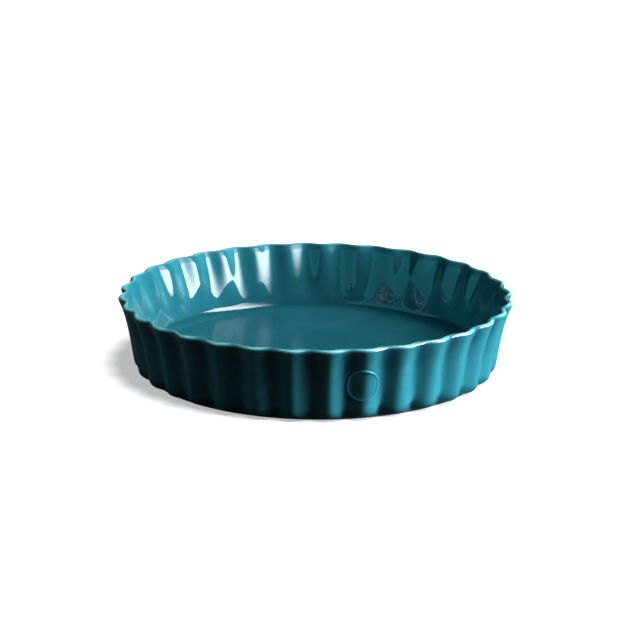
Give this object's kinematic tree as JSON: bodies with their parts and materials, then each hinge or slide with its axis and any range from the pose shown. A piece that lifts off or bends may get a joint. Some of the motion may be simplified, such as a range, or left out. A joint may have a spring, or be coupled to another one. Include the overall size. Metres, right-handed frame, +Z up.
{
  "type": "fluted ceramic pie dish",
  "caption": "Deep round ceramic pie dish with a flared fluted wall, full-round waved lip, smooth coved inside and a bare foot ring, glazed in deep glossy teal.",
  "frame": {"origin": "centre of the circle that the foot ring stands on, at the table", "axes": "+Z up along the dish's axis, -Y towards the front where the round relief is, a flute valley facing each of -Y, +X, +Y and -X"},
  "size_m": [0.2784, 0.2784, 0.055],
  "materials": {
    "clay": "bare fired stoneware",
    "glaze_inside": "deep teal gloss glaze",
    "glaze_outside": "deep teal gloss glaze",
    "glaze_roundel": "deep teal gloss glaze"
  },
  "bodies": {
    "root": {"stoneware_body": "clay", "glaze_inside": "glaze_inside", "glaze_outside": "glaze_outside", "seal_roundel": "glaze_roundel"}
  },
  "joints": []
}
